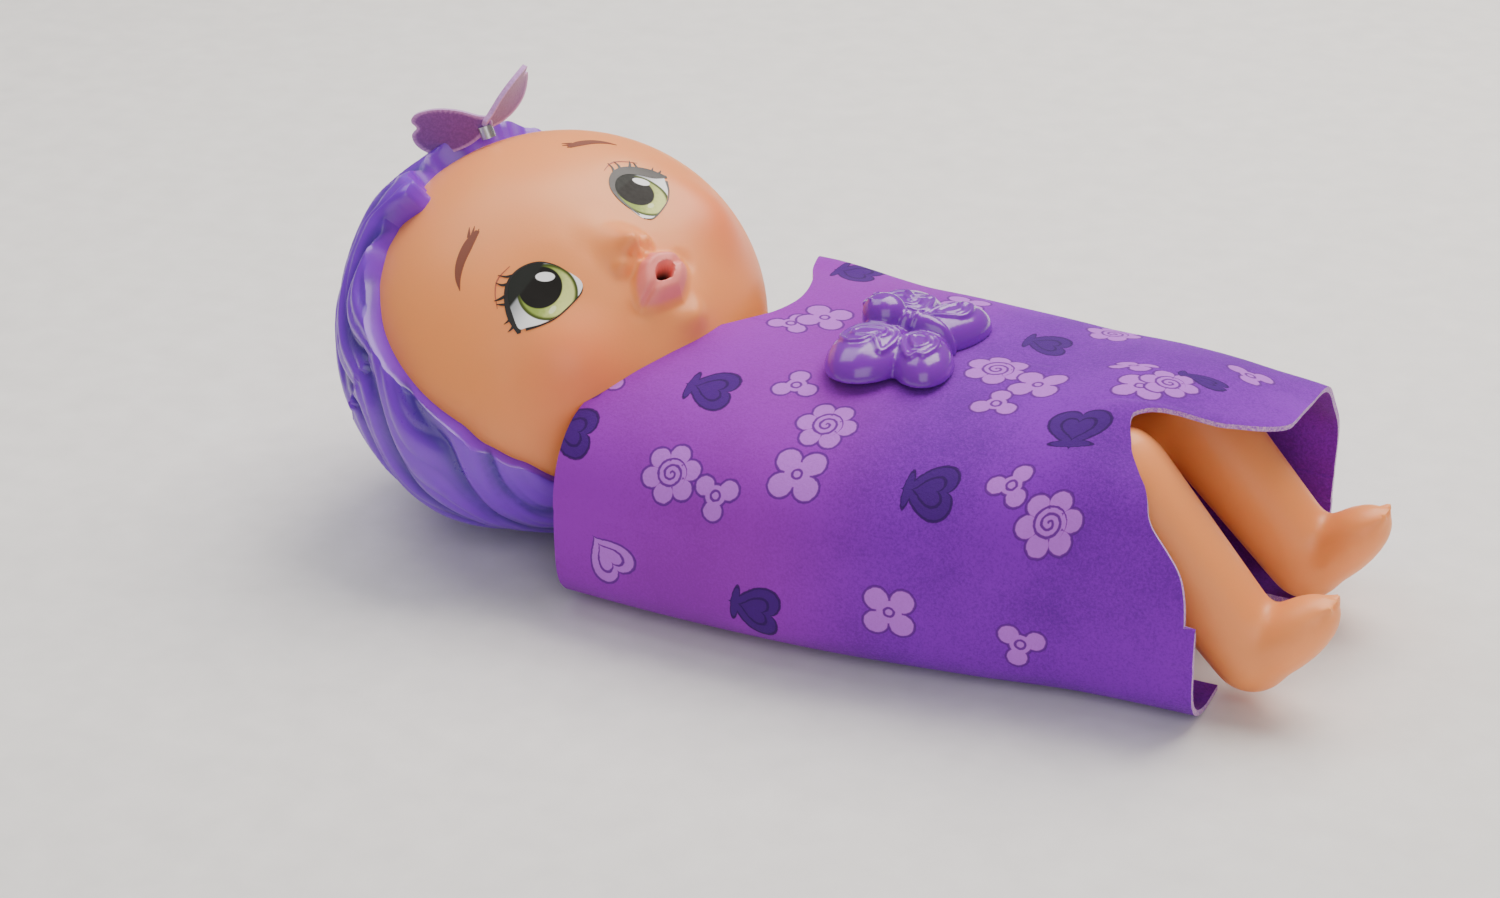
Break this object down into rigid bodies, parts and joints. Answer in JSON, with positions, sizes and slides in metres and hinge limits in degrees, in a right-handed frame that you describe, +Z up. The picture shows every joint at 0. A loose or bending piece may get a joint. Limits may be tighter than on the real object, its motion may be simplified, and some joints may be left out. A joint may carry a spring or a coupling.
{
  "type": "interactive baby doll",
  "caption": "Baby doll wrapped in a printed felt swaddle with a butterfly clasp; head turns, limbs swivel, mouth and tummy switches press.",
  "frame": {"origin": "on the floor, under the middle of the doll lying on its back", "axes": "+X to the feet, +Y to the doll's left, +Z up from its back to its face"},
  "size_m": [0.2782, 0.1237, 0.111],
  "materials": {
    "skin": "soft vinyl with a low sheen, rosy at the cheeks",
    "hair": "glossy moulded purple, wavy strands",
    "felt": "short-nap purple felt printed with flowers and butterflies",
    "bow_felt": "purple felt with a paler scalloped edge",
    "clasp": "glossy moulded purple",
    "vinyl": "hard plastic in the skin's colour",
    "white_plastic": "natural moulded plastic",
    "dark_plastic": "black moulded plastic",
    "board": "green glass-fibre board",
    "steel": "zinc-plated steel",
    "battery": "plain printed sleeve",
    "wire": "insulated wire",
    "elastic": "woven elastic"
  },
  "bodies": {
    "torso": {"torso_front": "vinyl", "torso_back": "vinyl", "torso_screws": "steel", "neck_post": "dark_plastic", "neck_clip": "steel", "batteries": "battery", "battery_contacts": "steel", "battery_springs": "steel", "circuit_board": "board", "board_chips": "dark_plastic", "board_screws": "steel", "tummy_switch": "dark_plastic", "tummy_spring": "steel", "power_switch": "dark_plastic", "battery_wires": "wire", "speaker_frame": "steel", "speaker_magnet": "steel", "speaker_cone": "dark_plastic", "speaker_wires": "wire", "neck_cable": "wire", "cable_plug": "white_plastic", "swaddle_wrap": "felt", "back_straps": "elastic", "clasp_plate": "white_plastic"},
    "head": {"head_shell": "skin", "hair_cap": "hair", "neck_ring": "white_plastic", "mouth_cup": "white_plastic", "mouth_spring": "steel", "mouth_switch": "dark_plastic", "mouth_wires": "wire", "cable_socket": "white_plastic", "bow_wing_left": "bow_felt", "bow_wing_right": "bow_felt", "bow_rivet": "steel"},
    "mouth_plunger": {"mouth_plunger": "white_plastic"},
    "left_arm": {"left_arm": "skin", "left_shoulder_plug": "white_plastic"},
    "right_arm": {"right_arm": "skin", "right_shoulder_plug": "white_plastic"},
    "left_leg": {"left_leg": "skin", "left_hip_plug": "white_plastic", "swaddle_skirt": "felt"},
    "right_leg": {"right_leg": "skin", "right_hip_plug": "white_plastic"},
    "tummy_button": {"tummy_button": "white_plastic"},
    "power_slider": {"power_slider": "dark_plastic"},
    "battery_cover": {"battery_cover": "vinyl", "cover_screw": "steel"},
    "butterfly_clasp": {"butterfly_clasp": "clasp"}
  },
  "joints": [
    {"name": "head_turn", "type": "hinge", "parent": "torso", "child": "head", "pos_m": [-0.0828, 0, 0.0515], "axis": [-0.9063, 0, 0.4226], "range_deg": [-15, 40], "deforming": ["swaddle_wrap"]},
    {"name": "mouth_press", "type": "slide", "parent": "head", "child": "mouth_plunger", "axis": [-0.3961, 0.3486, -0.8495], "range_m": [0, 0.002], "stiffness_N_per_m": 150, "springref_m": -0.001, "deforming": ["mouth_spring"]},
    {"name": "left_shoulder", "type": "hinge", "parent": "torso", "child": "left_arm", "pos_m": [-0.0217, 0.0445, 0.0385], "axis": [0, 1, 0], "range_deg": [-6, 6], "deforming": ["swaddle_wrap"]},
    {"name": "right_shoulder", "type": "hinge", "parent": "torso", "child": "right_arm", "pos_m": [-0.0217, -0.0445, 0.0385], "axis": [0, 1, 0], "range_deg": [-6, 6], "deforming": ["swaddle_wrap"]},
    {"name": "left_hip", "type": "hinge", "parent": "torso", "child": "left_leg", "pos_m": [0.0523, 0.0275, 0.024], "axis": [0, -1, 0], "range_deg": [0, 20], "deforming": ["swaddle_wrap", "swaddle_skirt"]},
    {"name": "right_hip", "type": "hinge", "parent": "torso", "child": "right_leg", "pos_m": [0.0523, -0.0275, 0.024], "axis": [0, -1, 0], "range_deg": [0, 20], "deforming": ["swaddle_wrap", "swaddle_skirt"]},
    {"name": "tummy_press", "type": "slide", "parent": "torso", "child": "tummy_button", "axis": [0, 0, -1], "range_m": [0, 0.002], "stiffness_N_per_m": 300, "springref_m": -0.001, "deforming": ["tummy_spring"]},
    {"name": "power_slide", "type": "slide", "parent": "torso", "child": "power_slider", "axis": [0, 1, 0], "range_m": [-0.0015, 0.0015]},
    {"name": "cover_lift", "type": "slide", "parent": "torso", "child": "battery_cover", "axis": [0, 0, -1], "range_m": [0, 0.015]},
    {"name": "clasp_lift", "type": "slide", "parent": "torso", "child": "butterfly_clasp", "axis": [0, 0, 1], "range_m": [0, 0.02]}
  ],
  "couplings": [
    {"joint": "right_hip", "follows": "left_hip", "ratio": 1}
  ]
}
